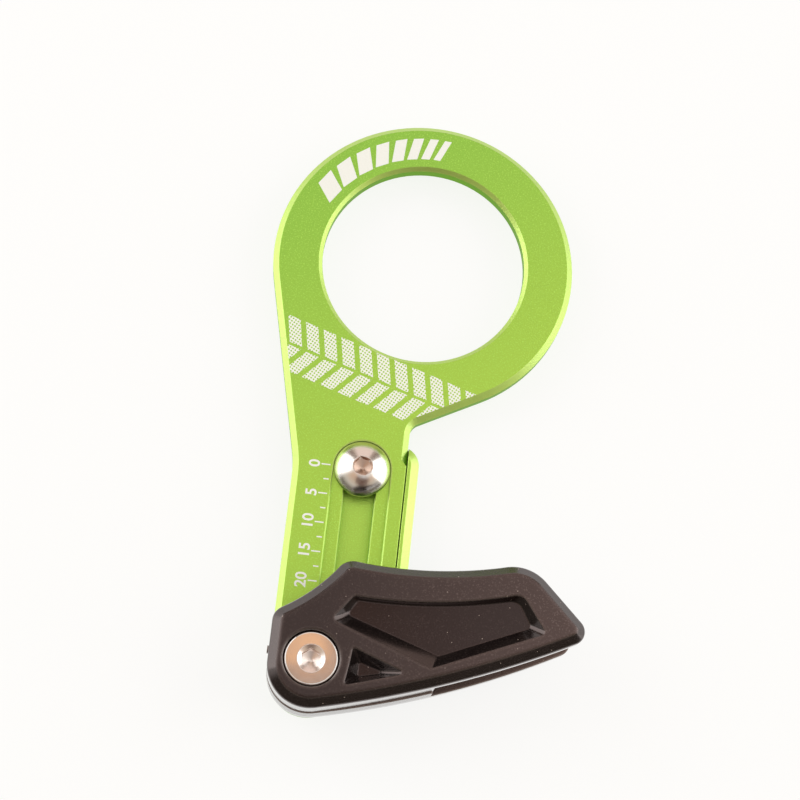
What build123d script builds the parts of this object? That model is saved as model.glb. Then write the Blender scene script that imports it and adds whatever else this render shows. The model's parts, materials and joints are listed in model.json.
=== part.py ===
# Height-adjustable bicycle chain guide that is clamped behind a bottom-bracket cup.
# Millimetres. The origin is the middle of the bottom-bracket hole on the ring's frame-side face.
# +Z points away from the frame, and -Y is the way the guide slides out to suit a larger chainring.
import os
from math import acos, atan2, cos, hypot, radians, sin, tan

from build123d import *

# Ring plate: the ring takes the place of a 2.5 mm cup spacer, and the hole clears the cup's thread
plate_thickness = 2.5
bore_diameter = 35.2
ring_diameter = 52.2
edge_chamfer = 1.0
bore_chamfer = 0.65

# Arm of the ring plate, with its slot parallel to Y
slot_x = -6.6
slot_top_y = -37.7
slot_travel = 20.0
slot_floor = 1.8
slot_edge_break = 0.22
arm_left_reach = 11.65
arm_right_reach = 7.35
arm_end_wall = 3.0
arm_end_fillet = 2.0
waist_fillet = 20.0
neck_drop = 3.1
neck_fillet = 2.4

# M5 screws: a button head in the slot and a low cap head in the cage
thread_diameter = 5.0
thread_clearance = 0.05
slot_clearance = 0.1
head_clearance = 0.1
hex_flats = 3.0
socket_point_angle = 140
socket_bevel_angle = 120
tip_inset = 0.2
tip_chamfer = 0.5
button_diameter = 9.5
button_height = 2.75
button_rim = 0.5
button_flat_diameter = 3.5
button_dome_radius = 5.7
button_hex_depth = 1.6
button_turn = 48
low_head_diameter = 8.7
low_head_height = 3.5
low_head_fillet = 0.35
low_hex_depth = 2.2
low_head_turn = 37
low_hex_bevel_diameter = 4.4

# Slider: a plate behind the arm, a lip along the arm's right edge and a pad that carries the cage
web_thickness = 4.0
slider_inset = 0.15
slider_top_margin = 4.95
slider_corner = 3.4
slider_back_chamfer = 0.5
lip_gap = 0.15
lip_width = 2.0
lip_chamfer_width = 1.4
lip_chamfer_depth = 1.15
lip_edge_break = 0.15
plain_edge_margin = 2.3
pad_gap = 0.6
pad_rise = 0.3

# Cage bolt: its place below the pad's upper edge, in the middle of the slider's rounded foot
foot_radius = 6.55
cage_bolt_below_pad_edge = 6.25
foot_drop = 0.5

# Cage section, from the slider's pad outwards
inner_wall = 1.9
chain_gap = 7.3
outer_wall = 3.1
front_bevel = 1.6
front_bevel_soften = 1.0
bevel_foot_soften = 0.5
back_bevel = 0.4
parting_edge_break = 0.1
bolt_clearance = 0.15
head_recess = 0.5
head_well_clearance = 0.12
head_well_soften = 0.5
peg_diameter = 2.6
peg_length = 1.8
peg_clearance = 0.1
slider_peg_from_bolt = (6.3, 2.9)
half_peg_from_bolt = (12.5, -1.6)
gate_mark_diameter = 1.3
gate_mark_height = 0.25
gate_mark_above_bolt = 1.0

# Cage outline, measured from the cage bolt: corners, the middles of the curved sides and corner radii
cage_heel = (-6.85, 7.1)
cage_notch = (-0.55, 11.6)
cage_peak = (3.75, 16.7)
cage_saddle = (18.05, 16.5)
cage_brow = (33.25, 19.55)
cage_tip = (44.6, 8.75)
inner_half_tip = (43.2, 8.1)
cage_belly = (19.55, -2.25)
inner_half_belly = (19.55, -2.55)
cage_foot_drop = 9.3
heel_fillet = 2.5
peak_fillet = 3.0
brow_fillet = 7.0
tip_fillet = 2.2

# Chain channel: the halves meet below a slanted ridge that ends short of the tip
ridge_upper = (-8.0, 10.1)
ridge_lower = (20.05, -0.7)
ridge_fillet = 0.6

# Large sunken pocket in the front: its rim on the face and its smaller floor
pocket_depth = 2.0
pocket_rim = ((2.35, 6.4), (5.55, 10.6), (32.45, 14.1), (36.95, 8.0), (18.85, 0.3))
pocket_rim_crest = (17.55, 10.95)
pocket_floor = ((4.9, 7.8), (6.4, 10.4), (32.0, 13.3), (34.5, 9.1), (20.1, 2.9))
pocket_floor_crest = (17.6, 10.75)
pocket_brow_fillet = 2.0
pocket_corner_fillet = 0.7
pocket_rim_soften = 0.5
pocket_floor_soften = 0.2

# Three-cornered pocket beside the bolt, with one side curved round it
gusset_depth = 2.5
gusset_rim = ((6.25, 2.6), (15.4, -0.7), (5.35, -3.8))
gusset_rim_bow = (5.9, -0.5)
gusset_floor = ((7.5, 0.6), (12.2, -0.7), (7.5, -1.8))
gusset_floor_bow = (7.6, -0.6)
gusset_corner_fillet = 0.4
gusset_rim_soften = 0.5
gusset_floor_soften = 0.2

# Places that follow from the sizes above
ring_radius = ring_diameter / 2
arm_left_x = slot_x - arm_left_reach
arm_right_x = slot_x + arm_right_reach
neck_y = -ring_radius - neck_drop
slot_width = thread_diameter + 2 * slot_clearance
counterbore_width = button_diameter + 2 * head_clearance
slot_middle = (slot_x, slot_top_y - slot_travel / 2)
arm_end_y = slot_top_y - slot_travel - counterbore_width / 2 - arm_end_wall
lip_left_x = arm_right_x + lip_gap
slider_right_x = lip_left_x + lip_width
slider_left_x = arm_left_x + slider_inset
slider_top_y = slot_top_y + slider_top_margin
plain_edge_top_y = slot_top_y + plain_edge_margin
pad_edge_y = arm_end_y - pad_gap
pad_z = plate_thickness + pad_rise
cage_bolt_x = slider_left_x + foot_radius
cage_bolt_y = pad_edge_y - cage_bolt_below_pad_edge
gap_low_z = pad_z + inner_wall
gap_high_z = gap_low_z + chain_gap
parting_z = gap_low_z + chain_gap / 2
face_z = gap_high_z + outer_wall
tapped_radius = thread_diameter / 2 + thread_clearance
shank_hole_radius = thread_diameter / 2 + bolt_clearance
socket_point = hex_flats / 2 / tan(radians(socket_point_angle / 2))
gate_mark_y = cage_bolt_y + gate_mark_above_bolt


def tangent_point(middle, radius, corner, side):
    """Point where a straight edge from the corner touches a circle, on its left (-1) or right (1)."""
    across = corner[0] - middle[0]
    along = corner[1] - middle[1]
    turn = atan2(along, across) + side * acos(radius / hypot(across, along))
    return (middle[0] + radius * cos(turn), middle[1] + radius * sin(turn))


def from_bolt(point):
    """Place in the part's frame of a point measured from the cage bolt."""
    return (cage_bolt_x + point[0], cage_bolt_y + point[1])


def round_corner(sketch, point, radius):
    """Round the corner of a sketch that lies nearest to a point."""
    fillet(sketch.vertices().sort_by_distance((*point, 0))[0], radius)


def cut_hex_socket(head_height, depth, turn):
    """Cut a hexagon socket with a drilled point at its floor into the screw head that is being built."""
    with BuildSketch(Plane.XY.offset(head_height)) as mouth:
        RegularPolygon(hex_flats / 2, 6, major_radius=False, rotation=turn)
    extrude(mouth.sketch, amount=-depth, mode=Mode.SUBTRACT)
    with Locations((0, 0, head_height - depth)):
        point_align = (Align.CENTER, Align.CENTER, Align.MAX)
        Cone(0, hex_flats / 2, socket_point, align=point_align, mode=Mode.SUBTRACT)


# Outlines that more than one piece uses
ring_middle = (0, 0)
waist = (arm_left_x, slot_top_y)
neck = (arm_right_x, neck_y)
with BuildSketch() as plate_plan:
    with BuildLine():
        Polyline(
            ring_middle,
            tangent_point(ring_middle, ring_radius, waist, -1),
            waist,
            (arm_left_x, arm_end_y),
            (arm_right_x, arm_end_y),
            neck,
            tangent_point(ring_middle, ring_radius, neck, 1),
            close=True,
        )
    make_face()
    round_corner(plate_plan, waist, waist_fillet)
    round_corner(plate_plan, neck, neck_fillet)
    round_corner(plate_plan, (arm_left_x, arm_end_y), arm_end_fillet)
    round_corner(plate_plan, (arm_right_x, arm_end_y), arm_end_fillet)
    Circle(ring_radius)

foot_middle = (cage_bolt_x, cage_bolt_y - foot_drop)
lip_end = (slider_right_x, pad_edge_y)
with BuildSketch() as slider_plan:
    with BuildLine():
        Polyline(
            (slider_left_x, slider_top_y),
            (slider_right_x, slider_top_y),
            lip_end,
            tangent_point(foot_middle, foot_radius, lip_end, -1),
            foot_middle,
            (slider_left_x, foot_middle[1]),
            close=True,
        )
    make_face()
    round_corner(slider_plan, (slider_left_x, slider_top_y), slider_corner)
    round_corner(slider_plan, (slider_right_x, slider_top_y), slider_corner)
    with Locations(foot_middle):
        Circle(foot_radius)

cage_foot = (cage_heel[0], -cage_foot_drop)


def cage_outline(tip, belly):
    """Outline of a cage half, with its tip and the middle of its lower side."""
    with BuildSketch() as cage_plan:
        with BuildLine():
            ThreePointArc(from_bolt(cage_heel), from_bolt(cage_notch), from_bolt(cage_peak))
            ThreePointArc(from_bolt(cage_peak), from_bolt(cage_saddle), from_bolt(cage_brow))
            Line(from_bolt(cage_brow), from_bolt(tip))
            ThreePointArc(from_bolt(tip), from_bolt(belly), from_bolt(cage_foot))
            Line(from_bolt(cage_foot), from_bolt(cage_heel))
        make_face()
        round_corner(cage_plan, from_bolt(cage_heel), heel_fillet)
        round_corner(cage_plan, from_bolt(cage_peak), peak_fillet)
        round_corner(cage_plan, from_bolt(cage_brow), brow_fillet)
        round_corner(cage_plan, from_bolt(tip), tip_fillet)
        round_corner(cage_plan, from_bolt(cage_foot), -cage_heel[0])
    return cage_plan.sketch


# The open side of the ridge, carried past every edge of the cage
past_top = cage_brow[1] * 2
past_tip = cage_tip[0] * 2
past_foot = -cage_foot_drop * 2
with BuildSketch() as channel_plan:
    with BuildLine():
        Polyline(
            from_bolt(ridge_upper),
            from_bolt(ridge_lower),
            from_bolt((ridge_lower[0], past_foot)),
            from_bolt((past_tip, past_foot)),
            from_bolt((past_tip, past_top)),
            from_bolt((ridge_upper[0], past_top)),
            close=True,
        )
    make_face()
    round_corner(channel_plan, from_bolt(ridge_lower), ridge_fillet)

# Ring plate
with BuildPart() as bb_ring_plate:
    with BuildSketch():
        add(plate_plan.sketch)
    extrude(amount=plate_thickness)
    chamfer(bb_ring_plate.faces().sort_by(Axis.Z)[-1].outer_wire().edges(), edge_chamfer)
    # The edge beside the slider's lip is left nearly square, and the chamfer runs out at a slant above it
    plain_edge_end_y = arm_end_y + arm_end_fillet
    chamfer_foot_x = arm_right_x - edge_chamfer
    with BuildSketch():
        with BuildLine():
            Polyline(
                (chamfer_foot_x, plain_edge_top_y),
                (arm_right_x, plain_edge_top_y - edge_chamfer),
                (arm_right_x, plain_edge_end_y),
                (chamfer_foot_x - edge_chamfer, plain_edge_end_y),
                (chamfer_foot_x - edge_chamfer, plain_edge_top_y),
                close=True,
            )
        make_face()
    extrude(amount=plate_thickness)
    plain_edge_middle = (arm_right_x, (plain_edge_top_y + plain_edge_end_y) / 2, plate_thickness)
    chamfer(bb_ring_plate.edges().sort_by_distance(plain_edge_middle)[0], lip_edge_break)
    with Locations((0, 0, plate_thickness)):
        Hole(bore_diameter / 2, depth=plate_thickness)
    chamfer(bb_ring_plate.faces().sort_by(Axis.Z)[-1].inner_wires()[0].edges(), bore_chamfer)
    with BuildSketch(Plane.XY.offset(plate_thickness)):
        with Locations(slot_middle):
            SlotCenterToCenter(slot_travel, counterbore_width, rotation=90)
    extrude(amount=slot_floor - plate_thickness, mode=Mode.SUBTRACT)
    with BuildSketch():
        with Locations(slot_middle):
            SlotCenterToCenter(slot_travel, slot_width, rotation=90)
    extrude(amount=plate_thickness, mode=Mode.SUBTRACT)
    front_face = bb_ring_plate.faces().filter_by(Axis.Z).sort_by(Axis.Z)[-1]
    step_face = bb_ring_plate.faces().filter_by(Axis.Z).group_by(Axis.Z)[1][0]
    counterbore_rim = front_face.inner_wires().sort_by(SortBy.LENGTH)[0].edges()
    slot_rim = step_face.inner_wires()[0].edges()
    chamfer(counterbore_rim + slot_rim, slot_edge_break)

# Slider with its lip, pad and tapped holes; the pad and the lip are cut from the slider's outline
past_slider = 2 * (slider_top_y - cage_bolt_y)
with BuildPart() as slider_arm:
    with BuildSketch(Plane.XY.offset(-web_thickness)):
        add(slider_plan.sketch)
    extrude(amount=web_thickness)
    with BuildSketch():
        add(slider_plan.sketch)
        with Locations((cage_bolt_x, pad_edge_y)):
            Rectangle(past_slider, past_slider, align=(Align.CENTER, Align.MAX), mode=Mode.INTERSECT)
    extrude(amount=pad_z)
    with BuildSketch():
        add(slider_plan.sketch)
        with Locations((lip_left_x, pad_edge_y)):
            Rectangle(past_slider, past_slider, align=(Align.MIN, Align.MIN), mode=Mode.INTERSECT)
    extrude(amount=plate_thickness)
    lip_face = slider_arm.faces().filter_by(Axis.Z).group_by(Axis.Z)[-2][0]
    lip_outer_edge = lip_face.outer_wire().edges().sort_by(Axis.X)[-1]
    chamfer(lip_outer_edge, lip_chamfer_width, lip_chamfer_depth, reference=lip_face)
    lip_inner_edge_middle = (lip_left_x, (slider_top_y + pad_edge_y) / 2, plate_thickness)
    chamfer(slider_arm.edges().sort_by_distance(lip_inner_edge_middle)[0], lip_edge_break)
    chamfer(slider_arm.faces().sort_by(Axis.Z)[0].outer_wire().edges(), slider_back_chamfer)
    with Locations((slot_x, slot_top_y, 0)):
        Hole(tapped_radius, depth=web_thickness)
    with Locations((cage_bolt_x, cage_bolt_y, pad_z)):
        Hole(tapped_radius, depth=pad_z + web_thickness)
    with Locations((*from_bolt(slider_peg_from_bolt), pad_z)):
        Hole(peg_diameter / 2 + peg_clearance, depth=peg_length + peg_clearance)

# Outer half of the cage
head_seat_z = face_z - head_recess - low_head_height
with BuildPart() as cage_outer_half:
    with BuildSketch(Plane.XY.offset(parting_z)):
        add(cage_outline(cage_tip, cage_belly))
    extrude(amount=face_z - parting_z)
    chamfer(cage_outer_half.faces().sort_by(Axis.Z)[-1].outer_wire().edges(), front_bevel)
    bevel_foot = cage_outer_half.edges().filter_by(Plane.XY).group_by(Axis.Z)[-2]
    fillet(bevel_foot, bevel_foot_soften)
    fillet(cage_outer_half.faces().sort_by(Axis.Z)[-1].outer_wire().edges(), front_bevel_soften)
    with BuildSketch(Plane.XY.offset(parting_z)):
        add(channel_plan.sketch)
    extrude(amount=gap_high_z - parting_z, mode=Mode.SUBTRACT)
    chamfer(cage_outer_half.faces().sort_by(Axis.Z)[0].outer_wire().edges(), parting_edge_break)
    for height, corners, crest in (
        (face_z, pocket_rim, pocket_rim_crest),
        (face_z - pocket_depth, pocket_floor, pocket_floor_crest),
    ):
        with BuildSketch(Plane.XY.offset(height)) as pocket_plan:
            left, shoulder, brow, right, low = [from_bolt(corner) for corner in corners]
            with BuildLine():
                Line(left, shoulder)
                ThreePointArc(shoulder, from_bolt(crest), brow)
                Polyline(brow, right, low, left)
            make_face()
            round_corner(pocket_plan, brow, pocket_brow_fillet)
            for corner in (left, shoulder, right, low):
                round_corner(pocket_plan, corner, pocket_corner_fillet)
    loft(ruled=True, mode=Mode.SUBTRACT)
    front_face = cage_outer_half.faces().sort_by(Axis.Z)[-1]
    pocket_bottom = cage_outer_half.faces().filter_by(Axis.Z).sort_by(Axis.Z)[-2]
    fillet(pocket_bottom.outer_wire().edges(), pocket_floor_soften)
    fillet(front_face.inner_wires()[0].edges(), pocket_rim_soften)
    for height, corners, bow in (
        (face_z, gusset_rim, gusset_rim_bow),
        (face_z - gusset_depth, gusset_floor, gusset_floor_bow),
    ):
        with BuildSketch(Plane.XY.offset(height)) as gusset_plan:
            upper, point, lower = [from_bolt(corner) for corner in corners]
            with BuildLine():
                Polyline(upper, point, lower)
                ThreePointArc(lower, from_bolt(bow), upper)
            make_face()
            for corner in (upper, point, lower):
                round_corner(gusset_plan, corner, gusset_corner_fillet)
    loft(ruled=True, mode=Mode.SUBTRACT)
    gusset_mouth = cage_outer_half.faces().sort_by(Axis.Z)[-1].inner_wires().sort_by(SortBy.LENGTH)[0]
    fillet(gusset_mouth.edges(), gusset_rim_soften)
    gusset_bottom_side = (*from_bolt(gusset_floor_bow), face_z - gusset_depth)
    gusset_bottom = cage_outer_half.faces().filter_by(Axis.Z).sort_by_distance(gusset_bottom_side)[0]
    fillet(gusset_bottom.outer_wire().edges(), gusset_floor_soften)
    with Locations((cage_bolt_x, cage_bolt_y, face_z)):
        CounterBoreHole(
            shank_hole_radius,
            low_head_diameter / 2 + head_well_clearance,
            face_z - head_seat_z,
        )
    head_well_rim = (cage_bolt_x + low_head_diameter / 2 + head_well_clearance, cage_bolt_y, face_z)
    fillet(cage_outer_half.edges().sort_by_distance(head_well_rim)[0], head_well_soften)
    with Locations((*from_bolt(half_peg_from_bolt), parting_z + peg_length + peg_clearance)):
        Hole(peg_diameter / 2 + peg_clearance, depth=peg_length + peg_clearance)
    # The nub left where the moulding's gate was trimmed
    with BuildSketch(Plane.YZ.offset(cage_bolt_x + cage_heel[0] + gate_mark_height)):
        with Locations((gate_mark_y, gap_high_z)):
            Circle(gate_mark_diameter / 2)
    extrude(amount=-2 * gate_mark_height)

# Inner half of the cage, with the pegs that key it to the slider and to the outer half
with BuildPart() as cage_inner_half:
    with BuildSketch(Plane.XY.offset(pad_z)):
        add(cage_outline(inner_half_tip, inner_half_belly))
    extrude(amount=parting_z - pad_z)
    chamfer(cage_inner_half.faces().sort_by(Axis.Z)[0].outer_wire().edges(), back_bevel)
    with BuildSketch(Plane.XY.offset(gap_low_z)):
        add(channel_plan.sketch)
    extrude(amount=parting_z - gap_low_z, mode=Mode.SUBTRACT)
    chamfer(cage_inner_half.faces().sort_by(Axis.Z)[-1].outer_wire().edges(), parting_edge_break)
    with Locations((cage_bolt_x, cage_bolt_y, parting_z)):
        Hole(shank_hole_radius, depth=parting_z - pad_z)
    with BuildSketch(Plane.XY.offset(parting_z)):
        with Locations(from_bolt(half_peg_from_bolt)):
            Circle(peg_diameter / 2)
    extrude(amount=peg_length)
    with BuildSketch(Plane.XY.offset(pad_z)):
        with Locations(from_bolt(slider_peg_from_bolt)):
            Circle(peg_diameter / 2)
    extrude(amount=-peg_length)

# Button-head screw that clamps the slider to the arm
with BuildPart() as height_bolt:
    with BuildSketch(Plane.XZ):
        with BuildLine():
            Line((0, 0), (button_diameter / 2, 0))
            Line((button_diameter / 2, 0), (button_diameter / 2, button_rim))
            RadiusArc(
                (button_diameter / 2, button_rim),
                (button_flat_diameter / 2, button_height),
                -button_dome_radius,
            )
            Line((button_flat_diameter / 2, button_height), (0, button_height))
            Line((0, button_height), (0, 0))
        make_face()
    revolve(axis=Axis.Z)
    with BuildSketch():
        Circle(thread_diameter / 2)
    extrude(amount=tip_inset - web_thickness - slot_floor)
    cut_hex_socket(button_height, button_hex_depth, button_turn)
    chamfer(height_bolt.edges().sort_by(Axis.Z)[0], tip_chamfer)

# Low-head screw that holds the cage on the slider
with BuildPart() as cage_bolt:
    with BuildSketch():
        Circle(low_head_diameter / 2)
    extrude(amount=low_head_height)
    fillet(cage_bolt.edges().sort_by(Axis.Z)[-1], low_head_fillet)
    with BuildSketch():
        Circle(thread_diameter / 2)
    extrude(amount=tip_inset - web_thickness - head_seat_z)
    # The socket's mouth is countersunk
    with Locations((0, 0, low_head_height)):
        CounterSinkHole(hex_flats / 2, low_hex_bevel_diameter / 2, low_hex_depth, socket_bevel_angle)
    cut_hex_socket(low_head_height, low_hex_depth, low_head_turn)
    chamfer(cage_bolt.edges().sort_by(Axis.Z)[0], tip_chamfer)

height_bolt.part.locate(Location((slot_x, slot_top_y, slot_floor)))
cage_bolt.part.locate(Location((cage_bolt_x, cage_bolt_y, head_seat_z)))

os.makedirs("parts", exist_ok=True)
for piece, node in (
    (bb_ring_plate, "bb_ring_plate"),
    (slider_arm, "slider_arm"),
    (cage_outer_half, "cage_outer_half"),
    (cage_inner_half, "cage_inner_half"),
    (height_bolt, "height_bolt"),
    (cage_bolt, "cage_bolt"),
):
    piece.part.label = node
    export_step(piece.part, f"parts/{node}.step")
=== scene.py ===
# Finishes, printed marks, light and camera for a height-adjustable bicycle chain guide.
import json
import math

import bpy
from mathutils import Matrix, Vector


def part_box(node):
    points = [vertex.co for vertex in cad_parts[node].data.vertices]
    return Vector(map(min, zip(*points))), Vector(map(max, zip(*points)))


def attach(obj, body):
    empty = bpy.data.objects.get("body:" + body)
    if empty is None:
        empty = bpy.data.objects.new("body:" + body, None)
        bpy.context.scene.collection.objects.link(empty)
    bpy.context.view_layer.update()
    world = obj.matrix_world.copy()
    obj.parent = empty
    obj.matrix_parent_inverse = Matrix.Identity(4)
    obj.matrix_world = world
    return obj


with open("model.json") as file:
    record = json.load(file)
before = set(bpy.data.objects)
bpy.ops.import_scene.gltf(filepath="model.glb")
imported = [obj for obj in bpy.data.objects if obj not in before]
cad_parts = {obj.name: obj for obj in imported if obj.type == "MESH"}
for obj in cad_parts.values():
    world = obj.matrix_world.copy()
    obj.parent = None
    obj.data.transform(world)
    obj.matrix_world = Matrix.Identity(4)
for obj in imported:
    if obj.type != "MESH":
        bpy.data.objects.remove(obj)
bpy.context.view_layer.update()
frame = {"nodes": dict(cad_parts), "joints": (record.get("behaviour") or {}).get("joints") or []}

MM = 0.001


def axis_of(screw):
    """Where an upright screw stands: the middle of its box, to 0.01 mm, because its head is faceted."""
    low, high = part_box(screw)
    return round((low.x + high.x) / 2 / MM, 2), round((low.y + high.y) / 2 / MM, 2)


# Places on the part, in millimetres, as the solids have them
plate_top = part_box("bb_ring_plate")[1].z / MM
ring_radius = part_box("bb_ring_plate")[1].y / MM
rest_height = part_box("slider_arm")[0].z / MM
height_bolt_axis = axis_of("height_bolt")
cage_bolt_axis = axis_of("cage_bolt")
slot_x, slot_top_y = height_bolt_axis
slot_travel = frame["joints"][0]["range_m"][1] / MM
head_slot_half_width = 4.85
cage_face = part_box("cage_outer_half")[1].z / MM
cage_tip_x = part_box("cage_outer_half")[1].x / MM
chain_face = 4.7

# The Wave texture repeats after this length where its scale is 1
wave_period = 2 * math.pi / 20


def linear(hex_colour):
    """Linear RGBA of an sRGB hex colour."""
    channels = [int(hex_colour[i:i + 2], 16) / 255 for i in (1, 3, 5)]
    return (*[c / 12.92 if c <= 0.04045 else ((c + 0.055) / 1.055) ** 2.4 for c in channels], 1)


def noise_scale(width):
    """Texture scale at which one cell of a noise is this many millimetres wide."""
    return 1 / (width * MM)


def wave_scale(pitch):
    """Texture scale at which the bands of a wave are this many millimetres apart."""
    return wave_period / (pitch * MM)


def node(tree, kind, inputs=None, **settings):
    """Add a node, set its options, and fill or join its inputs."""
    made = tree.nodes.new(kind)
    for name, value in settings.items():
        setattr(made, name, value)
    for socket, value in (inputs or {}).items():
        if isinstance(value, bpy.types.NodeSocket):
            tree.links.new(value, made.inputs[socket])
        else:
            made.inputs[socket].default_value = value
    return made


def blank_finish(name):
    """A new material with an empty node tree."""
    made = bpy.data.materials.new(name)
    made.use_nodes = True
    made.node_tree.nodes.clear()
    return made


def show_finish(finish, surface):
    """Join a shader to a material's output."""
    node(finish.node_tree, "ShaderNodeOutputMaterial", {"Surface": surface})
    return finish


def anodised_shader(tree, upper_left_dye_and_shade, lower_right_dye_and_light):
    """Aluminium, bead blasted, its edges then cut bright, and all anodised green.

    It is satin, with dents that sparkle; its chamfers are painted lighter than the flats,
    a painted highlight, its walls are painted deeper green, a painted shade, and the clear
    oxide over the dyed layer adds a white shine. The colour is painted darker at the ring's
    upper left and lighter at its lower right: painted light.
    """
    # The blasting leaves dents of about 0.05 mm; they are drawn at 0.25 mm so that they show
    dent_width = 0.25
    dent_depth = 0.05
    # It rounds the sharp edges a little, and leaves the flats cloudy
    edge_radius = 0.1
    cloud_width = 9
    painted_light_heading = (0.6, -1, 0)
    coordinates = node(tree, "ShaderNodeTexCoord")
    place = coordinates.outputs["Object"]
    dents = node(tree, "ShaderNodeTexNoise", {
        "Vector": place, "Scale": noise_scale(dent_width), "Detail": 2.0,
    })
    cloud = node(tree, "ShaderNodeTexNoise", {
        "Vector": place, "Scale": noise_scale(cloud_width), "Detail": 1.0,
    })
    satin = node(tree, "ShaderNodeMapRange", {"Value": cloud.outputs["Fac"], "To Min": 0.4, "To Max": 0.48})
    # The colour runs from darker at the ring's upper left to lighter at its lower right: painted light
    along = node(tree, "ShaderNodeVectorMath", {0: place, 1: painted_light_heading}, operation="DOT_PRODUCT")
    painted_light_across = node(tree, "ShaderNodeMapRange", {
        "Value": along.outputs["Value"], "From Min": -ring_radius * MM, "From Max": ring_radius * MM,
    })
    dye_with_painted_light = node(tree, "ShaderNodeMix", {
        "Factor": painted_light_across.outputs["Result"], "A": linear(upper_left_dye_and_shade), "B": linear(lower_right_dye_and_light),
    }, data_type="RGBA")
    sparkle = node(tree, "ShaderNodeMapRange", {
        "Value": dents.outputs["Fac"], "From Min": 0.52, "From Max": 0.72,
    })
    dye_and_painted_light = node(tree, "ShaderNodeMix", {
        "Factor": sparkle.outputs["Result"], "A": dye_with_painted_light.outputs["Result"], "B": linear("#BAE866"),
    }, data_type="RGBA")
    # How level the surface is: 1 on a flat, about 0.7 on a chamfer and 0 on a wall; walls are painted
    # deeper green, a painted shade
    facing = node(tree, "ShaderNodeSeparateXYZ", {"Vector": coordinates.outputs["Normal"]})
    level = node(tree, "ShaderNodeMath", {0: facing.outputs["Z"]}, operation="ABSOLUTE")
    open_face = node(tree, "ShaderNodeMapRange", {
        "Value": level.outputs[0], "From Min": 0.1, "From Max": 0.6,
    })
    # Walls get a deeper green: painted shade
    tone_with_painted_wall_shade = node(tree, "ShaderNodeMix", {
        "Factor": open_face.outputs["Result"], "A": linear("#6CA41E"), "B": dye_and_painted_light.outputs["Result"],
    }, data_type="RGBA")
    slanted = node(tree, "ShaderNodeMapRange", {
        "Value": level.outputs[0], "From Min": 0.97, "From Max": 0.9,
    })
    chamfered = node(tree, "ShaderNodeMath", {
        0: slanted.outputs["Result"], 1: open_face.outputs["Result"],
    }, operation="MULTIPLY")
    # The chamfers are painted a lighter green: a painted highlight
    colour = node(tree, "ShaderNodeMix", {
        "Factor": chamfered.outputs[0], "A": tone_with_painted_wall_shade.outputs["Result"], "B": linear("#C2E070"),
    }, data_type="RGBA")
    # The clear oxide shines more on the cut chamfers than on the blasted flats
    clear = node(tree, "ShaderNodeMapRange", {
        "Value": chamfered.outputs[0], "To Min": 0.35, "To Max": 1.0,
    })
    rounded = node(tree, "ShaderNodeBevel", {"Radius": edge_radius * MM}, samples=6)
    bump = node(tree, "ShaderNodeBump", {
        "Height": dents.outputs["Fac"], "Normal": rounded.outputs["Normal"],
        "Strength": 1.0, "Distance": dent_depth * MM,
    })
    # The specular tint keeps the flats green where light grazes them
    return node(tree, "ShaderNodeBsdfPrincipled", {
        "Base Color": colour.outputs["Result"],
        "Roughness": satin.outputs["Result"],
        "Normal": bump.outputs["Normal"],
        "Metallic": 1.0,
        "Specular Tint": linear("#D4EEA8"),
        "Coat Weight": clear.outputs["Result"],
        "Coat Roughness": 0.3,
        "Coat IOR": 1.5,
    }).outputs["BSDF"]


def anodised_green(name, upper_left_dye_and_shade, lower_right_dye_and_light):
    """The finish of one milled piece, with its own dyed colours."""
    finish = blank_finish(name)
    return show_finish(finish, anodised_shader(finish.node_tree, upper_left_dye_and_shade, lower_right_dye_and_light))


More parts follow.
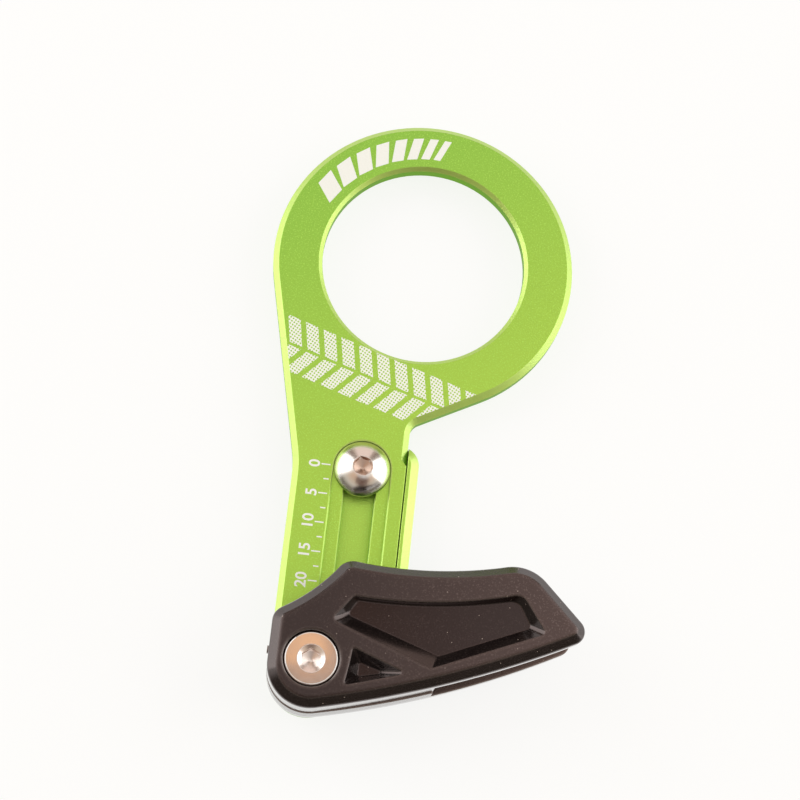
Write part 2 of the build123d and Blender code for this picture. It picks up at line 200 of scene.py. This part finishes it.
def moulded_black_nylon(name, face, worn_and_lit):
    """Glass-filled nylon: warm black, with a faint grain on its face, which lies at this height.

    Below it the tool was polished, so the sunken fields and the walls are smoother and shine. The end of
    the face toward the cage's tip is painted lighter: partly wear where the chain rubs, partly painted
    light.
    """
    # The tool's grain is about 0.1 mm wide; it is drawn at 0.25 mm so that it shows
    grain_width = 0.25
    grain_depth = 0.08
    # Under the face the grain fades out between these depths
    grain_ends = 0.03
    polish_starts = 0.35
    polish_patch = 7
    # Specks up to 0.16 mm across, of which few are kept: about one in every 30 square millimetres
    speck_cell = 0.8
    speck_radius = 0.08
    speck_share = 0.1
    # The tool's edges are rounded, and the outer ones are painted lighter: partly wear from handling,
    # partly a painted highlight
    edge_radius = 0.2
    pale_edge_width = 0.3
    finish = blank_finish(name)
    tree = finish.node_tree
    coordinates = node(tree, "ShaderNodeTexCoord")
    place = coordinates.outputs["Object"]
    axes = node(tree, "ShaderNodeSeparateXYZ", {"Vector": place})
    facing = node(tree, "ShaderNodeSeparateXYZ", {"Vector": coordinates.outputs["Normal"]})
    grain = node(tree, "ShaderNodeTexNoise", {
        "Vector": place, "Scale": noise_scale(grain_width), "Detail": 3.0,
    })
    patches = node(tree, "ShaderNodeTexNoise", {
        "Vector": place, "Scale": noise_scale(polish_patch), "Detail": 2.0,
    })
    # The face is painted lighter toward the cage's tip: partly wear, partly painted light
    toward_tip = node(tree, "ShaderNodeMapRange", {
        "Value": axes.outputs["X"], "From Min": cage_bolt_axis[0] * MM, "From Max": cage_tip_x * MM,
    })
    raised = node(tree, "ShaderNodeMapRange", {
        "Value": axes.outputs["Z"],
        "From Min": (face - polish_starts) * MM, "From Max": (face - grain_ends) * MM,
    })
    paler = node(tree, "ShaderNodeMath", {
        0: toward_tip.outputs["Result"], 1: raised.outputs["Result"],
    }, operation="MULTIPLY")
    body = node(tree, "ShaderNodeMix", {
        "Factor": paler.outputs[0], "A": linear("#120E0E"), "B": linear(worn_and_lit),
    }, data_type="RGBA")
    # Glass fibres at the surface glint as flecks
    flecks = node(tree, "ShaderNodeMapRange", {
        "Value": grain.outputs["Fac"], "From Min": 0.55, "From Max": 0.75,
    })
    shown = node(tree, "ShaderNodeMapRange", {"Value": paler.outputs[0], "To Min": 0.18, "To Max": 0.9})
    glint = node(tree, "ShaderNodeMath", {
        0: flecks.outputs["Result"], 1: shown.outputs["Result"],
    }, operation="MULTIPLY")
    flecked = node(tree, "ShaderNodeMix", {
        "Factor": glint.outputs[0], "A": body.outputs["Result"], "B": linear("#6E615E"),
    }, data_type="RGBA")
    # Outer edges are painted pale: partly wear, partly a painted highlight
    inside = node(tree, "ShaderNodeAmbientOcclusion", {
        "Distance": pale_edge_width * MM,
    }, inside=True, only_local=True, samples=8)
    edge = node(tree, "ShaderNodeMapRange", {
        "Value": inside.outputs["AO"], "From Min": 0.96, "From Max": 0.78, "To Max": 0.75,
    })
    edged = node(tree, "ShaderNodeMix", {
        "Factor": edge.outputs["Result"], "A": flecked.outputs["Result"], "B": linear("#968A84"),
    }, data_type="RGBA")
    specks = node(tree, "ShaderNodeTexVoronoi", {"Vector": place, "Scale": noise_scale(speck_cell)})
    near = node(tree, "ShaderNodeMath", {
        0: specks.outputs["Distance"], 1: speck_radius / speck_cell,
    }, operation="LESS_THAN")
    odd = node(tree, "ShaderNodeSeparateColor", {"Color": specks.outputs["Color"]})
    rare = node(tree, "ShaderNodeMath", {
        0: odd.outputs["Red"], 1: 1 - speck_share,
    }, operation="GREATER_THAN")
    speck = node(tree, "ShaderNodeMath", {0: near.outputs[0], 1: rare.outputs[0]}, operation="MULTIPLY")
    colour = node(tree, "ShaderNodeMix", {
        "Factor": speck.outputs[0], "A": edged.outputs["Result"], "B": linear("#A89A92"),
    }, data_type="RGBA")
    polished = node(tree, "ShaderNodeMapRange", {
        "Value": patches.outputs["Fac"], "To Min": 0.12, "To Max": 0.2,
    })
    shine = node(tree, "ShaderNodeMapRange", {
        "Value": raised.outputs["Result"], "To Min": polished.outputs["Result"], "To Max": 0.42,
    })
    relief = node(tree, "ShaderNodeMapRange", {
        "Value": raised.outputs["Result"], "To Min": 0.05, "To Max": 0.4,
    })
    rounded = node(tree, "ShaderNodeBevel", {"Radius": edge_radius * MM}, samples=6)
    bump = node(tree, "ShaderNodeBump", {
        "Height": grain.outputs["Fac"], "Normal": rounded.outputs["Normal"],
        "Strength": relief.outputs["Result"], "Distance": grain_depth * MM,
    })
    # The bevels and walls shine more than the faces
    steep = node(tree, "ShaderNodeMapRange", {
        "Value": facing.outputs["Z"], "From Min": 0.92, "From Max": 0.5,
    })
    surface = node(tree, "ShaderNodeBsdfPrincipled", {
        "Base Color": colour.outputs["Result"],
        "Roughness": shine.outputs["Result"],
        "Normal": bump.outputs["Normal"],
        "IOR": 1.62,
        "Specular Tint": linear("#FFE0DC"),
        "Coat Weight": steep.outputs["Result"],
        "Coat Roughness": 0.15,
        "Coat IOR": 1.65,
    })
    return show_finish(finish, surface.outputs["BSDF"])


def turned_steel(name, axis, roughness, lean, socket_radius, socket_colour):
    """Stainless steel, turned and tumbled bright: a mirror with faint rings round the screw's axis.

    The head's face leans to the left by this slope. The socket was punched, so it is duller than the head,
    and it has its own colour, which on the button screw is painted shade.
    """
    # The tool's feed marks are 0.1 mm apart, drawn at 0.25 mm so that they show
    ring_pitch = 0.25
    ring_depth = 0.004
    smear_width = 0.8
    smear_roughness = 0.06
    socket_roughness = 0.28
    # The face waves a little, and it is crowned: it falls by this times the square of the radius
    wave_width = 6
    wave_height = 0.05
    crown_fall = 0.003
    # The dullness and the socket's own colour both fade out at the socket's edge
    dull_from, dull_to = socket_radius - 0.1, socket_radius + 0.1
    tint_from, tint_to = socket_radius - 0.2, socket_radius + 0.05
    finish = blank_finish(name)
    tree = finish.node_tree
    place = node(tree, "ShaderNodeTexCoord").outputs["Object"]
    centred = node(tree, "ShaderNodeMapping", {
        "Vector": place, "Location": (-axis[0] * MM, -axis[1] * MM, 0), "Scale": (1, 1, 0),
    })
    radius = node(tree, "ShaderNodeVectorMath", {0: centred.outputs["Vector"]}, operation="LENGTH")
    smear = node(tree, "ShaderNodeTexNoise", {
        "Vector": place, "Scale": noise_scale(smear_width), "Detail": 2.0,
    })
    bright = node(tree, "ShaderNodeMapRange", {
        "Value": smear.outputs["Fac"], "To Min": roughness, "To Max": roughness + smear_roughness,
    })
    shine = node(tree, "ShaderNodeMapRange", {
        "Value": radius.outputs["Value"], "From Min": dull_from * MM, "From Max": dull_to * MM,
        "To Min": socket_roughness, "To Max": bright.outputs["Result"],
    })
    socket_tinted = node(tree, "ShaderNodeMapRange", {
        "Value": radius.outputs["Value"], "From Min": tint_from * MM, "From Max": tint_to * MM,
    })
    metal = node(tree, "ShaderNodeMix", {
        "Factor": socket_tinted.outputs["Result"], "A": linear(socket_colour), "B": linear("#EFEAE6"),
    }, data_type="RGBA")
    square = node(tree, "ShaderNodeMath", {0: radius.outputs["Value"], 1: 2.0}, operation="POWER")
    slope = node(tree, "ShaderNodeVectorMath", {
        0: centred.outputs["Vector"], 1: (lean, 0, 0),
    }, operation="DOT_PRODUCT")
    crown = node(tree, "ShaderNodeMath", {
        0: square.outputs[0], 1: -crown_fall / MM, 2: slope.outputs["Value"],
    }, operation="MULTIPLY_ADD")
    waves = node(tree, "ShaderNodeTexNoise", {
        "Vector": place, "Scale": noise_scale(wave_width), "Detail": 1.0,
    })
    form = node(tree, "ShaderNodeMath", {
        0: waves.outputs["Fac"], 1: wave_height * MM, 2: crown.outputs[0],
    }, operation="MULTIPLY_ADD")
    uneven = node(tree, "ShaderNodeBump", {"Height": form.outputs[0], "Strength": 1.0, "Distance": 1.0})
    rings = node(tree, "ShaderNodeTexWave", {
        "Vector": centred.outputs["Vector"], "Scale": wave_scale(ring_pitch),
        "Distortion": 0.6, "Detail": 1.0,
    }, wave_type="RINGS", rings_direction="Z")
    bump = node(tree, "ShaderNodeBump", {
        "Height": rings.outputs["Fac"], "Normal": uneven.outputs["Normal"],
        "Strength": 0.15, "Distance": ring_depth * MM,
    })
    surface = node(tree, "ShaderNodeBsdfPrincipled", {
        "Base Color": metal.outputs["Result"],
        "Roughness": shine.outputs["Result"],
        "Normal": bump.outputs["Normal"],
        "Metallic": 1.0,
    })
    return show_finish(finish, surface.outputs["BSDF"])


def screen_print_white():
    """White screen-printing ink: matt, opaque and a little uneven."""
    # The unevenness is about 0.1 mm wide; it is drawn at 0.25 mm so that it shows
    uneven_width = 0.25
    finish = blank_finish("white_screen_print_ink")
    tree = finish.node_tree
    place = node(tree, "ShaderNodeTexCoord").outputs["Object"]
    uneven = node(tree, "ShaderNodeTexNoise", {
        "Vector": place, "Scale": noise_scale(uneven_width), "Detail": 2.0,
    })
    ink = node(tree, "ShaderNodeMix", {
        "Factor": uneven.outputs["Fac"], "A": linear("#F0F4EE"), "B": linear("#FBFEFA"),
    }, data_type="RGBA")
    surface = node(tree, "ShaderNodeBsdfPrincipled", {
        "Base Color": ink.outputs["Result"], "Roughness": 0.6,
    })
    return show_finish(finish, surface.outputs["BSDF"])


def screen_print_mesh():
    """The same ink in a fine mesh: the green shows through rows of pinholes."""
    # The pinholes are 0.45 mm apart, drawn at 0.5 mm so that they show
    pinhole_pitch = 0.5
    mesh_turn = math.radians(28)
    finish = blank_finish("white_screen_print_mesh")
    tree = finish.node_tree
    place = node(tree, "ShaderNodeTexCoord").outputs["Object"]
    turned = node(tree, "ShaderNodeMapping", {"Vector": place, "Rotation": (0, 0, mesh_turn)})
    threads = [
        node(tree, "ShaderNodeTexWave", {
            "Vector": turned.outputs["Vector"], "Scale": wave_scale(pinhole_pitch),
        }, wave_type="BANDS", bands_direction=direction)
        for direction in ("X", "Y")
    ]
    crossing = node(tree, "ShaderNodeMath", {
        0: threads[0].outputs["Fac"], 1: threads[1].outputs["Fac"],
    }, operation="MULTIPLY")
    hole = node(tree, "ShaderNodeMapRange", {
        "Value": crossing.outputs[0], "From Min": 0.26, "From Max": 0.4,
    })
    ink = node(tree, "ShaderNodeBsdfPrincipled", {"Base Color": linear("#F6FAF3"), "Roughness": 0.6})
    surface = node(tree, "ShaderNodeMixShader", {
        0: hole.outputs["Result"], 1: ink.outputs["BSDF"], 2: anodised_shader(tree, *plate_dye_and_painted_light),
    })
    return show_finish(finish, surface.outputs["Shader"])


# Finishes of the pieces: the dyes are for the upper left and the lower right; the plate's pair
# paints its upper left in shade and its lower right in light
plate_dye_and_painted_light = ("#98CF4F", "#AFD753")
slider_dye = ("#B2DA59", "#B2DA59")
for part, finish in {
    "bb_ring_plate": anodised_green("green_anodised_aluminium_plate", *plate_dye_and_painted_light),
    "slider_arm": anodised_green("green_anodised_aluminium_slider", *slider_dye),
    # Both cages are painted lighter toward the tip: partly wear, partly painted light
    "cage_outer_half": moulded_black_nylon("black_nylon_moulded", face=cage_face, worn_and_lit="#433735"),
    "cage_inner_half": moulded_black_nylon("black_nylon_chain_worn_and_lit", face=chain_face, worn_and_lit="#64544E"),
    # The button screw's brownish socket colour is painted shade
    "height_bolt": turned_steel(
        "stainless_steel_button_screw", height_bolt_axis,
        roughness=0.18, lean=0, socket_radius=1.7, socket_colour="#CDB2A2",
    ),
    "cage_bolt": turned_steel(
        "stainless_steel_cap_screw", cage_bolt_axis,
        roughness=0.09, lean=0.026, socket_radius=2.3, socket_colour="#F2E6E0",
    ),
}.items():
    mesh = frame["nodes"][part].data
    mesh.materials.clear()
    mesh.materials.append(finish)

# Printed marks on the plate's front, in millimetres; the ink starts a little under the face
ink_thickness = 0.012
ink_sink = 0.05


def start_print(name):
    """An empty object to lay ink on, open in edit mode."""
    bpy.ops.object.select_all(action="DESELECT")
    bpy.ops.mesh.primitive_plane_add(size=MM)
    made = bpy.context.object
    made.name = name
    bpy.ops.object.mode_set(mode="EDIT")
    bpy.ops.mesh.select_all(action="SELECT")
    bpy.ops.mesh.delete(type="VERT")
    return made


def lay_bar(middle, width, height, lean=0.0, turn=0.0):
    """A bar of ink: a plane pulled to size, its ends pushed apart to slant it, turned and put in place."""
    bpy.ops.mesh.select_all(action="DESELECT")
    bpy.ops.mesh.primitive_plane_add(size=MM, location=(0, 0, 0))
    bpy.ops.transform.resize(value=(width, height, 1))
    work = bpy.context.edit_object
    work.update_from_editmode()
    corners = [v.index for v in work.data.vertices if v.select]
    for side in (-1, 1):
        bpy.ops.mesh.select_all(action="DESELECT")
        bpy.ops.object.mode_set(mode="OBJECT")
        for i in corners:
            work.data.vertices[i].select = work.data.vertices[i].co.y * side > 0
        bpy.ops.object.mode_set(mode="EDIT")
        bpy.ops.transform.translate(value=(side * lean * MM / 2, 0, 0))
    bpy.ops.mesh.select_all(action="DESELECT")
    bpy.ops.object.mode_set(mode="OBJECT")
    for i in corners:
        work.data.vertices[i].select = True
    bpy.ops.object.mode_set(mode="EDIT")
    bpy.ops.mesh.select_mode(type="VERT")
    bpy.ops.transform.rotate(value=-turn, orient_axis="Z", center_override=(0, 0, 0))
    bpy.ops.transform.translate(value=(middle[0] * MM, middle[1] * MM, (plate_top - ink_sink) * MM))


def face_of_plate():
    """A block that stands on the plate's front face and has its outline, to trim ink at the edges."""
    weld_distance = 0.0005 * MM
    level_normal = 0.999
    flat_angle = math.radians(0.5)
    bpy.ops.object.select_all(action="DESELECT")
    source = frame["nodes"]["bb_ring_plate"]
    block = bpy.data.objects.new("plate_face_trim", source.data.copy())
    bpy.context.scene.collection.objects.link(block)
    bpy.context.view_layer.objects.active = block
    block.select_set(True)
    bpy.ops.object.mode_set(mode="EDIT")
    bpy.ops.mesh.select_all(action="SELECT")
    bpy.ops.mesh.remove_doubles(threshold=weld_distance)
    bpy.ops.mesh.select_mode(type="FACE")
    bpy.ops.mesh.select_all(action="DESELECT")
    bpy.ops.object.mode_set(mode="OBJECT")
    for face in block.data.polygons:
        in_front = face.normal.z > level_normal and face.center.z > (plate_top - ink_sink) * MM
        face.select = not in_front
    bpy.ops.object.mode_set(mode="EDIT")
    bpy.ops.mesh.delete(type="FACE")
    bpy.ops.mesh.select_all(action="SELECT")
    bpy.ops.mesh.dissolve_limited(angle_limit=flat_angle)
    bpy.ops.mesh.select_all(action="SELECT")
    bpy.ops.mesh.extrude_region_move(TRANSFORM_OT_translate={"value": (0, 0, ink_sink * MM)})
    bpy.ops.mesh.select_all(action="SELECT")
    bpy.ops.mesh.normals_make_consistent(inside=False)
    bpy.ops.object.mode_set(mode="OBJECT")
    return block


def press_print(mark, trim=None):
    """Give laid ink its thickness, trim it to the plate's face and let it move with the plate."""
    bpy.ops.mesh.select_all(action="SELECT")
    bpy.ops.mesh.extrude_region_move(
        TRANSFORM_OT_translate={"value": (0, 0, (ink_sink + ink_thickness) * MM)}
    )
    bpy.ops.mesh.select_all(action="SELECT")
    bpy.ops.mesh.normals_make_consistent(inside=False)
    bpy.ops.object.mode_set(mode="OBJECT")
    if trim:
        cut = mark.modifiers.new("trim", "BOOLEAN")
        cut.operation = "INTERSECT"
        cut.solver = "EXACT"
        cut.object = trim
        bpy.ops.object.modifier_apply(modifier=cut.name)
    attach(mark, "mount")


plate_face = face_of_plate()

# A row of slanted dashes along the ring's upper left, each narrower than the one before
dash_radius = 21.6
dash_start = 151.0
dash_count = 8
dash_width = 3.3
dash_taper = 0.3
dash_gap = 0.9
dash_height = 3.9
dash_lean = 1.5
dashes = start_print("ring_dashes")
reached = dash_start
for count in range(dash_count):
    width = dash_width - dash_taper * count
    half_step = math.degrees((width + dash_gap) / 2 / dash_radius)
    heading = math.radians(reached - half_step)
    middle = (dash_radius * math.cos(heading), dash_radius * math.sin(heading))
    lay_bar(middle, width, dash_height, lean=dash_lean, turn=heading - math.pi / 2)
    reached -= 2 * half_step
press_print(dashes, plate_face)

# A herringbone band of mesh bars across the foot of the ring
band_turn = math.radians(-17)
band_along = Vector((math.cos(band_turn), math.sin(band_turn)))
band_across = Vector((-band_along.y, band_along.x))
band_start = Vector((-27, -13))
bars_in_row = 13
bar_pitch = 3.3
bar_width = 2.3
bar_height = 4.4
bar_lean = 2.2
row_pitch = 4.9
band = start_print("herringbone_band")
for row, lean in enumerate((-bar_lean, bar_lean)):
    for count in range(bars_in_row):
        middle = band_start + band_along * (bar_pitch * count) - band_across * (row_pitch * row)
        lay_bar(middle, bar_width, bar_height, lean=lean, turn=band_turn)
press_print(band, plate_face)
bpy.data.objects.remove(plate_face)

# A travel scale in millimetres beside the slot: a numeral and a long tick at each step, a short one between
scale_step = 5
scale_steps = round(slot_travel / scale_step)
tick_gap = 0.55
tick_width = 0.22
long_tick = 1.5
short_tick = 0.9
numeral_size = 2.6
numeral_weight = 0.05
numeral_reach = 2.6
tick_edge_x = slot_x - head_slot_half_width - tick_gap
scale = start_print("travel_scale")
for count in range(2 * scale_steps + 1):
    length = short_tick if count % 2 else long_tick
    lay_bar((tick_edge_x - length / 2, slot_top_y - scale_step * count / 2), length, tick_width)
press_print(scale)
numerals = []
for count in range(scale_steps + 1):
    bpy.ops.object.select_all(action="DESELECT")
    bpy.ops.object.text_add()
    numeral = bpy.context.object
    numeral.data.body = str(scale_step * count)
    numeral.data.size = numeral_size * MM
    numeral.data.offset = numeral_weight * MM
    numeral.data.extrude = ink_thickness / 2 * MM
    numeral.data.align_x = "CENTER"
    numeral.data.align_y = "CENTER"
    numeral.location = (
        (tick_edge_x - numeral_reach) * MM,
        (slot_top_y - scale_step * count) * MM,
        (plate_top + ink_thickness / 2) * MM,
    )
    numeral.rotation_euler.z = math.pi / 2
    bpy.ops.object.convert(target="MESH")
    bpy.ops.object.transform_apply(location=True, rotation=True, scale=True)
    numerals.append(bpy.context.object)
bpy.ops.object.select_all(action="DESELECT")
for numeral in numerals:
    numeral.select_set(True)
scale.select_set(True)
bpy.context.view_layer.objects.active = scale
bpy.ops.object.join()

solid_ink = screen_print_white()
mesh_ink = screen_print_mesh()
for mark, ink in ((dashes, solid_ink), (band, mesh_ink), (scale, solid_ink)):
    mark.data.materials.clear()
    mark.data.materials.append(ink)

# Floor: white paper that the guide lies on, which the metal mirrors too. It is matt, and most of what the
# camera, mirrors and glass see of it is a plain white glow
floor_width = 6
floor_gap = 0.02
glow_share = 0.84
bpy.ops.object.select_all(action="DESELECT")
bpy.ops.mesh.primitive_plane_add(size=floor_width, location=(0, 0, (rest_height - floor_gap) * MM))
floor = bpy.context.object
floor.name = "white_floor"
paper = blank_finish("white_paper")
tree = paper.node_tree
path = node(tree, "ShaderNodeLightPath")
seen_or_mirrored = node(tree, "ShaderNodeMath", {
    0: path.outputs["Is Camera Ray"], 1: path.outputs["Is Glossy Ray"],
}, operation="MAXIMUM")
seen = node(tree, "ShaderNodeMath", {
    0: seen_or_mirrored.outputs[0], 1: path.outputs["Is Transmission Ray"],
}, operation="MAXIMUM")
glowing = node(tree, "ShaderNodeMath", {0: seen.outputs[0], 1: glow_share}, operation="MULTIPLY")
matt = node(tree, "ShaderNodeBsdfDiffuse", {"Color": linear("#FCFBF9")})
glow = node(tree, "ShaderNodeEmission", {"Color": linear("#FFFFFE"), "Strength": 1.0})
show_finish(paper, node(tree, "ShaderNodeMixShader", {
    0: glowing.outputs[0], 1: matt.outputs["BSDF"], 2: glow.outputs["Emission"],
}).outputs["Shader"])
floor.data.materials.append(paper)

# Room, by how far the eye turns from straight behind the guide: a cream wall behind, white softboxes at
# both sides with dim gaps beside them, and a front that is dark low down and tan higher up
side_turn = math.radians(90)
front_starts = math.radians(98)
front_full = math.radians(114)
screen_heading = (0.07, -0.62, 0.78)
screen_starts = 0.48
screen_full = 0.28
ceiling_heading = (0.12, 0.1, 0.988)
ceiling_starts = math.radians(42)
ceiling_full = math.radians(22)
shade_heading = (-0.052, 0.178, 0.983)
shade_reach = math.radians(10)
world = bpy.data.worlds.new("studio_room")
bpy.context.scene.world = world
world.use_nodes = True
tree = world.node_tree
tree.nodes.clear()
heading = node(tree, "ShaderNodeTexCoord").outputs["Generated"]
axes = node(tree, "ShaderNodeSeparateXYZ", {"Vector": heading})
compass = node(tree, "ShaderNodeMath", {
    0: axes.outputs["X"], 1: axes.outputs["Y"],
}, operation="ARCTAN2")
from_behind = node(tree, "ShaderNodeMath", {0: compass.outputs[0]}, operation="ABSOLUTE")
turned_away = node(tree, "ShaderNodeMapRange", {"Value": from_behind.outputs[0], "From Max": side_turn})
back_and_sides = node(tree, "ShaderNodeValToRGB", {"Fac": turned_away.outputs["Result"]})
front = node(tree, "ShaderNodeValToRGB", {"Fac": axes.outputs["Z"]})
toward_front = node(tree, "ShaderNodeMapRange", {
    "Value": from_behind.outputs[0], "From Min": front_starts, "From Max": front_full,
}, interpolation_type="SMOOTHSTEP")
around = node(tree, "ShaderNodeMix", {
    "Factor": toward_front.outputs["Result"],
    "A": back_and_sides.outputs["Color"], "B": front.outputs["Color"],
}, data_type="RGBA")
# A brown screen stands in front, darker than the room
off_screen = node(tree, "ShaderNodeVectorMath", {0: heading, 1: screen_heading}, operation="DISTANCE")
on_screen = node(tree, "ShaderNodeMapRange", {
    "Value": off_screen.outputs["Value"], "From Min": screen_starts, "From Max": screen_full,
})
screened = node(tree, "ShaderNodeMix", {
    "Factor": on_screen.outputs["Result"], "A": around.outputs["Result"], "B": linear("#6E564B"),
}, data_type="RGBA")
# The ceiling is white
toward_ceiling = node(tree, "ShaderNodeVectorMath", {
    0: heading, 1: ceiling_heading,
}, operation="DOT_PRODUCT")
overhead = node(tree, "ShaderNodeMapRange", {
    "Value": toward_ceiling.outputs["Value"],
    "From Min": math.cos(ceiling_starts), "From Max": math.cos(ceiling_full),
}, interpolation_type="SMOOTHSTEP")
walls = node(tree, "ShaderNodeMix", {
    "Factor": overhead.outputs["Result"], "A": screened.outputs["Result"], "B": linear("#FAF7F2"),
}, data_type="RGBA")
# A lampshade hangs overhead, tan in its middle with a dim rim
off_shade = node(tree, "ShaderNodeVectorMath", {0: heading, 1: shade_heading}, operation="DISTANCE")
across_shade = node(tree, "ShaderNodeMapRange", {
    "Value": off_shade.outputs["Value"], "From Max": shade_reach,
})
lampshade = node(tree, "ShaderNodeValToRGB", {"Fac": across_shade.outputs["Result"]})
on_shade = node(tree, "ShaderNodeMapRange", {
    "Value": across_shade.outputs["Result"], "From Min": 0.9, "From Max": 0.6,
})
for colours, stops in (
    (back_and_sides, (
        (0, "#F2DCD0"), (0.22, "#F2DCD0"), (0.32, "#8A7668"), (0.42, "#8A7668"), (0.51, "#FBF8F3"),
    )),
    (front, (
        (0, "#4E433B"), (0.2, "#726B5F"), (0.42, "#CDC8BA"), (0.85, "#D2AE90"),
    )),
    (lampshade, (
        (0, "#FFCB9F"), (0.26, "#FFC797"), (0.36, "#C29C88"), (0.55, "#857468"), (0.8, "#DABFB9"),
    )),
):
    elements = colours.color_ramp.elements
    elements[0].color = linear(stops[0][1])
    elements[1].position = stops[-1][0]
    elements[1].color = linear(stops[-1][1])
    for position, colour in stops[1:-1]:
        elements.new(position).color = linear(colour)
sky = node(tree, "ShaderNodeMix", {
    "Factor": on_shade.outputs["Result"], "A": walls.outputs["Result"], "B": lampshade.outputs["Color"],
}, data_type="RGBA")
path = node(tree, "ShaderNodeLightPath")
room = node(tree, "ShaderNodeBackground", {"Color": sky.outputs["Result"], "Strength": 1.0})
plain = node(tree, "ShaderNodeBackground", {"Color": linear("#FFFFFF"), "Strength": 1.0})
backdrop = node(tree, "ShaderNodeMixShader", {
    0: path.outputs["Is Camera Ray"], 1: room.outputs["Background"], 2: plain.outputs["Background"],
})
node(tree, "ShaderNodeOutputWorld", {"Surface": backdrop.outputs["Shader"]})

guide_middle = Vector((0, -25, rest_height)) * MM


def softbox(name, heading, away, size, watts):
    """A lamp that stands on the floor, upright, and faces the guide from a compass heading in degrees.

    The metal mirrors it, but the camera doesn't see it.
    """
    lamp = bpy.data.lights.new(name, "AREA")
    lamp.shape = "RECTANGLE"
    lamp.size, lamp.size_y = size
    lamp.energy = watts
    lamp.color = linear("#FFFEFC")[:3]
    made = bpy.data.objects.new(name, lamp)
    bpy.context.scene.collection.objects.link(made)
    side = math.radians(heading)
    back = Vector((math.cos(side), math.sin(side), 0))
    made.location = guide_middle + back * away + Vector((0, 0, size[1] / 2))
    made.rotation_euler = back.to_track_quat("Z", "Y").to_euler()
    made.visible_camera = False


softbox("softbox_left", heading=163, away=0.5, size=(0.5, 0.6), watts=1.35)
softbox("softbox_right", heading=10, away=0.56, size=(0.72, 0.72), watts=2.16)

# Camera: long lens, nearly overhead and a little to the guide's foot, with the picture slightly turned
view_target = Vector((-1.56, -24.96, 2.5)) * MM
view_distance = 340.2 * MM
view_tilt = math.radians(16.74)
view_heading = math.radians(-8.1)
view_roll = math.radians(14.7)
lens = bpy.data.cameras.new("studio_camera")
lens.sensor_width = 36
lens.lens = 90
lens.clip_start = 0.01
camera = bpy.data.objects.new("studio_camera", lens)
bpy.context.scene.collection.objects.link(camera)
camera.matrix_world = (
    Matrix.Translation(view_target)
    @ Matrix.Rotation(view_heading, 4, "Z")
    @ Matrix.Rotation(view_tilt, 4, "X")
    @ Matrix.Rotation(view_roll, 4, "Z")
    @ Matrix.Translation((0, 0, view_distance))
)
bpy.context.scene.camera = camera
bpy.context.scene.view_settings.view_transform = "Standard"
